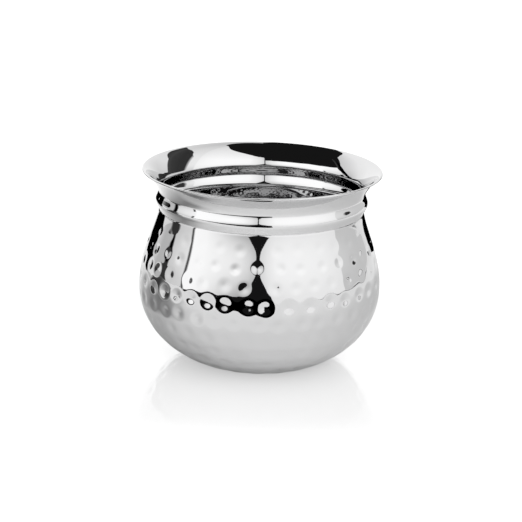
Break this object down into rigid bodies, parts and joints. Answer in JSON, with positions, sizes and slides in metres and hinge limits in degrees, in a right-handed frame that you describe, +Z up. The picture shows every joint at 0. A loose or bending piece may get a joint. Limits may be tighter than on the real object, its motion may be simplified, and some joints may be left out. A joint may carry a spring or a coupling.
{
  "type": "handi cooking pot",
  "caption": "Small round-bellied cooking and serving pot of hammered polished steel, with a beaded neck and a flared open rim.",
  "frame": {"origin": "on the ground plane, under the pot's axis", "axes": "+Z up along the pot's axis; +Y away from the viewer in the picture, +X to the right"},
  "size_m": [0.1318, 0.1318, 0.105],
  "materials": {
    "polished_steel": "stainless steel, spun and mirror polished",
    "hammered_steel": "stainless steel, hand hammered in rows of shallow round marks and mirror polished",
    "satin_steel": "stainless steel, turned satin finish",
    "spreader_aluminium": "plain rolled aluminium"
  },
  "bodies": {
    "root": {"inner_bowl": "polished_steel", "outer_jacket": "hammered_steel", "base_disc": "satin_steel", "heat_spreader_disc": "spreader_aluminium"}
  },
  "joints": []
}
